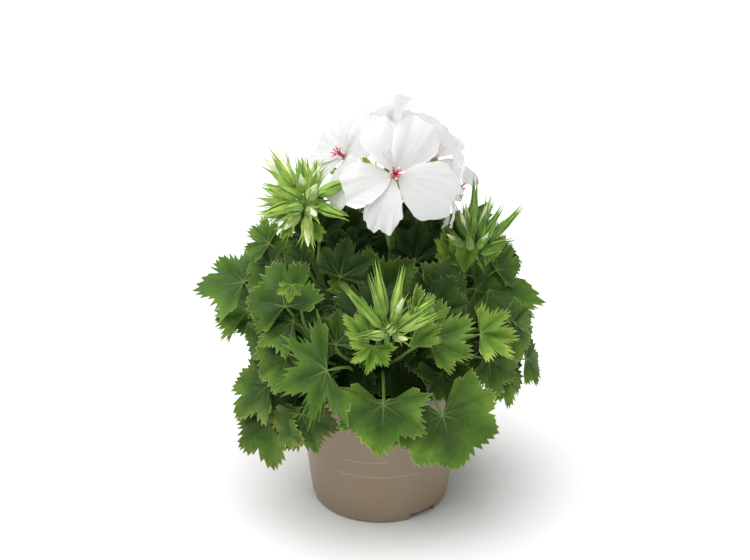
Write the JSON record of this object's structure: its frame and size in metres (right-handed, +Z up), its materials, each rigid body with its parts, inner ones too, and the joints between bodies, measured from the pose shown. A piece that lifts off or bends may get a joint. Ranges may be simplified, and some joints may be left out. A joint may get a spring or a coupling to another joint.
{
  "type": "potted regal pelargonium",
  "caption": "Bushy regal pelargonium with lobed, toothed leaves, spiky bud clusters and one open head of white blooms, in a tapered round nursery pot filled with peat.",
  "frame": {"origin": "middle of the pot's foot, on the surface it stands on", "axes": "+Z up, along the pot's axis; -Y towards the side with the most open bloom, which the picture shows"},
  "size_m": [0.2428, 0.2386, 0.2931],
  "materials": {
    "pot": "satin taupe moulded plastic",
    "peat": "dark crumbly peat",
    "leaf": "dark green living leaf with paler veins",
    "bud": "yellow-green living stalk and sepal",
    "petal": "soft white petal",
    "stamen": "red filament"
  },
  "bodies": {
    "root": {"pot": "pot", "peat": "peat", "leafy_stem_front": "leaf", "leafy_stem_front_left": "leaf", "leafy_stem_front_right": "leaf", "leafy_stem_left": "leaf", "leafy_stem_right": "leaf", "leafy_stem_middle": "leaf", "leafy_stem_back_left": "leaf", "leafy_stem_back_right": "leaf", "leafy_stem_back": "leaf", "open_umbel_stalks": "bud", "bud_umbel_left": "bud", "bud_umbel_front": "bud", "bud_umbel_right": "bud", "bud_umbel_back": "bud", "bloom_front_petals": "petal", "bloom_left_petals": "petal", "bloom_right_petals": "petal", "bloom_back_petals": "petal", "bloom_low_right_petals": "petal", "bloom_front_stamens": "stamen", "bloom_left_stamens": "stamen", "bloom_right_stamens": "stamen", "bloom_back_stamens": "stamen", "bloom_low_right_stamens": "stamen"}
  },
  "joints": []
}
